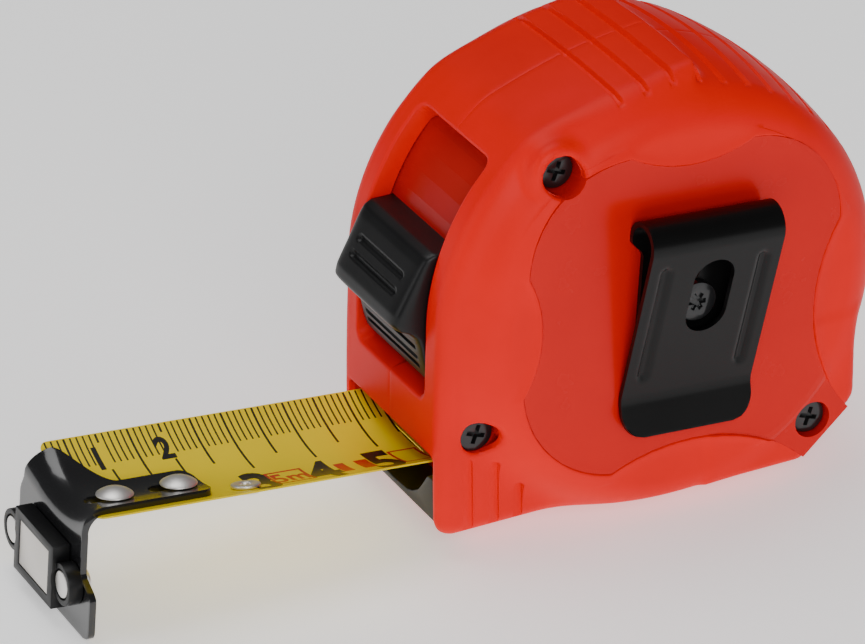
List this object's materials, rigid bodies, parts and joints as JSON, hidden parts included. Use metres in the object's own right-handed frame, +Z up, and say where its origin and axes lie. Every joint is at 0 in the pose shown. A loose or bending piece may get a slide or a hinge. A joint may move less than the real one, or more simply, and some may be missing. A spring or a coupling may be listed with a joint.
{
  "type": "tape measure",
  "caption": "Pocket tape measure with a round-backed rubber-gripped case, curved steel band, magnetic end hook, thumb lock and steel belt clip.",
  "frame": {"origin": "on the flat base plane, at the middle of the case's width, straight under the reel axis", "axes": "+Z up from the base; the band leaves the case towards -X; the belt clip is on the -Y side; +Y completes the right-handed frame and is parallel to the reel axis"},
  "size_m": [0.1294, 0.048, 0.0692],
  "materials": {
    "grip_rubber": "satin overmoulded rubber, fine eroded texture",
    "case_plastic": "smooth moulded plastic",
    "black_plastic": "satin moulded plastic",
    "inner_plastic": "moulded plastic",
    "liner_plastic": "slippery white plastic",
    "tape_yellow": "printed and coated steel band",
    "black_steel": "glossy black coated steel",
    "bright_steel": "plated steel",
    "spring_steel": "bare spring steel",
    "black_screw": "black oxide steel"
  },
  "bodies": {
    "case": {"shell_clip_side": "case_plastic", "shell_plain_side": "case_plastic", "grip_clip_side": "grip_rubber", "grip_plain_side": "grip_rubber", "case_screws": "black_screw", "slot_cover": "case_plastic", "nose_bumper": "black_plastic", "spindle": "spring_steel", "liner_clip_side": "liner_plastic", "liner_plain_side": "liner_plastic", "blade_lead": "tape_yellow", "belt_clip_base": "black_steel", "clip_screw": "black_screw"},
    "reel": {"reel_drum": "inner_plastic", "reel_cover": "inner_plastic", "power_spring": "spring_steel", "blade_coil": "tape_yellow"},
    "blade": {"blade": "tape_yellow", "hook_rivets": "bright_steel", "blade_eyelet": "bright_steel"},
    "hook": {"hook": "black_steel", "magnet_holder": "black_plastic", "magnet": "bright_steel", "magnet_rivets": "bright_steel"},
    "lock": {"lock_button": "black_plastic", "lock_carriage": "inner_plastic", "lock_rivets": "bright_steel"},
    "brake": {"brake_shoe": "inner_plastic"},
    "clip_leaf": {"belt_clip_leaf": "black_steel"}
  },
  "joints": [
    {"name": "reel_spin", "type": "hinge", "parent": "case", "child": "reel", "pos_m": [0, 0, 0.0313], "axis": [0, 1, 0], "range_deg": [-122, 0]},
    {"name": "blade_slide", "type": "slide", "parent": "case", "child": "blade", "axis": [-0.9959, 0, 0.0906], "range_m": [-0.048, 0], "deforming": ["blade_lead"]},
    {"name": "hook_play", "type": "slide", "parent": "blade", "child": "hook", "axis": [-0.9959, 0, 0.0906], "range_m": [-0.0011, 0]},
    {"name": "lock_travel", "type": "hinge", "parent": "case", "child": "lock", "pos_m": [0, 0, 0.0313], "axis": [0, 1, 0], "range_deg": [0, 21]},
    {"name": "brake_lift", "type": "slide", "parent": "case", "child": "brake", "axis": [0, 0, 1], "range_m": [0, 0.0012]},
    {"name": "clip_flex", "type": "hinge", "parent": "case", "child": "clip_leaf", "pos_m": [0.0018, -0.024, 0.04457], "axis": [0.9976, 0, -0.0698], "range_deg": [-8, 0], "stiffness_Nm_per_rad": 0.8}
  ],
  "couplings": [
    {"joint": "blade_slide", "follows": "reel_spin", "m_per_rad": 0.0224},
    {"joint": "brake_lift", "follows": "lock_travel", "m_per_rad": 0.0032}
  ]
}
